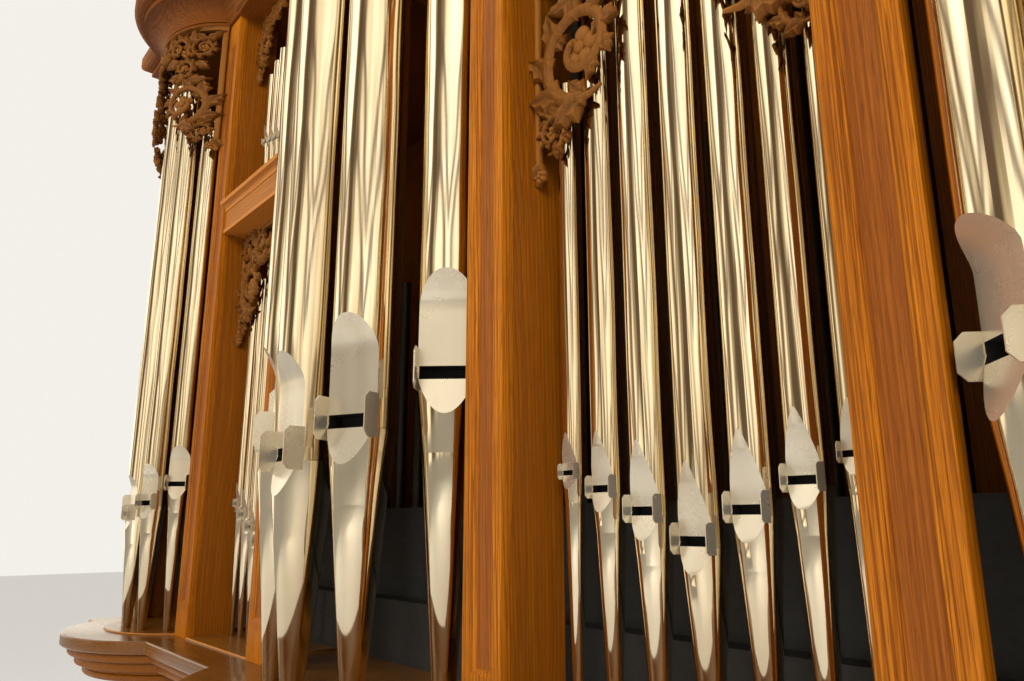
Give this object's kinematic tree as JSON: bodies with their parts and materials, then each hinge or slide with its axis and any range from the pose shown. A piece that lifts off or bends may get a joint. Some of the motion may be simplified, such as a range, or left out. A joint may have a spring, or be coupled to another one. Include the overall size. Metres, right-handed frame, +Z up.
{
  "type": "pipe organ",
  "caption": "Pipe organ in an oak case: round towers and flats of polished tin display pipes under carved shades and crown mouldings, on a panelled lower case.",
  "frame": {"origin": "on the floor under the middle of the case, halfway between the front of the posts and the back", "axes": "+X to the right along the front, +Y from the front to the back, +Z up"},
  "size_m": [7.14, 1.4678, 4.82],
  "materials": {
    "oak": "waxed honey oak with upright grain",
    "dark_oak": "darker varnished oak",
    "carved_oak": "dark waxed carving",
    "tin": "polished tin",
    "dull_metal": "dull dark metal",
    "dark_wood": "dark grey painted boards"
  },
  "bodies": {
    "root": {"plinth": "dark_oak", "lower_frame": "oak", "lower_panels": "oak", "case_side_left": "oak", "case_side_right": "oak", "case_back": "oak", "impost_shelf": "dark_oak", "tower_bases": "dark_oak", "toe_boards": "oak", "posts_outer_left": "oak", "posts_inner_left": "oak", "posts_inner_right": "oak", "posts_outer_right": "oak", "rail_flat_left": "oak", "rail_inner_left": "oak", "rail_inner_right": "oak", "rail_flat_right": "oak", "crown_end_left": "oak", "crown_flat_left": "oak", "crown_tower_left": "oak", "crown_inner_left": "oak", "crown_centre": "oak", "crown_inner_right": "oak", "crown_tower_right": "oak", "crown_flat_right": "oak", "crown_end_right": "oak", "shade_end_left": "carved_oak", "shade_flat_left": "carved_oak", "shade_tower_left": "carved_oak", "shade_inner_left": "carved_oak", "shade_centre": "carved_oak", "shade_inner_right": "carved_oak", "shade_tower_right": "carved_oak", "shade_flat_right": "carved_oak", "shade_end_right": "carved_oak", "pipes_end_left": "tin", "pipes_flat_left": "tin", "pipes_tower_left": "tin", "pipes_inner_left": "tin", "pipes_centre": "tin", "pipes_inner_right": "tin", "pipes_tower_right": "tin", "pipes_flat_right": "tin", "pipes_end_right": "tin", "wind_chest": "dark_wood", "inner_pipes": "dull_metal"}
  },
  "joints": []
}
